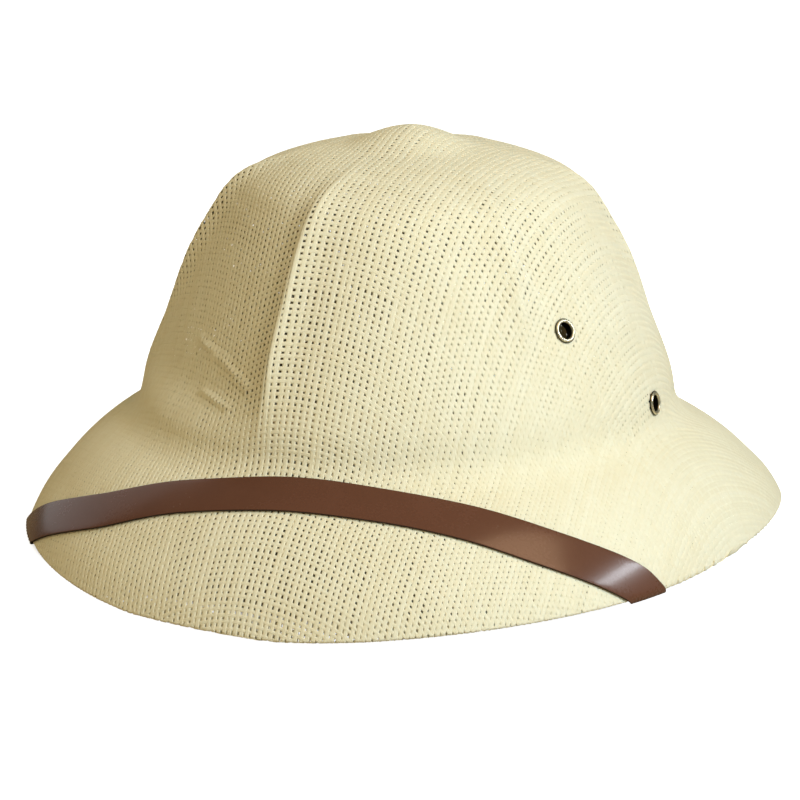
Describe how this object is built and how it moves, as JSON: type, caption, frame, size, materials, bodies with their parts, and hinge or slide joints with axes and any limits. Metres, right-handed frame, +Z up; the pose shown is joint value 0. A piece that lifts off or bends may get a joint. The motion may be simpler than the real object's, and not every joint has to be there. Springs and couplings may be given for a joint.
{
  "type": "straw sun helmet",
  "caption": "Woven straw sun helmet: ribbed rounded crown, wide sloping brim, leather band across the front of the brim and metal vent eyelets; worn on the head for shade.",
  "frame": {"origin": "middle of the bounding box on the plane that the hat rests on", "axes": "+Z up, the front of the hat towards -Y, the wearer's left towards +X"},
  "size_m": [0.27, 0.3006, 0.1596],
  "materials": {
    "straw": "plain-woven pressed straw, matt",
    "leather": "smooth brown leather, semi-gloss",
    "brass": "dull antique brass"
  },
  "bodies": {
    "root": {"straw_shell": "straw", "front_band": "leather", "eyelet_left_front": "brass", "eyelet_left_rear": "brass", "eyelet_right_front": "brass", "eyelet_right_rear": "brass"}
  },
  "joints": []
}
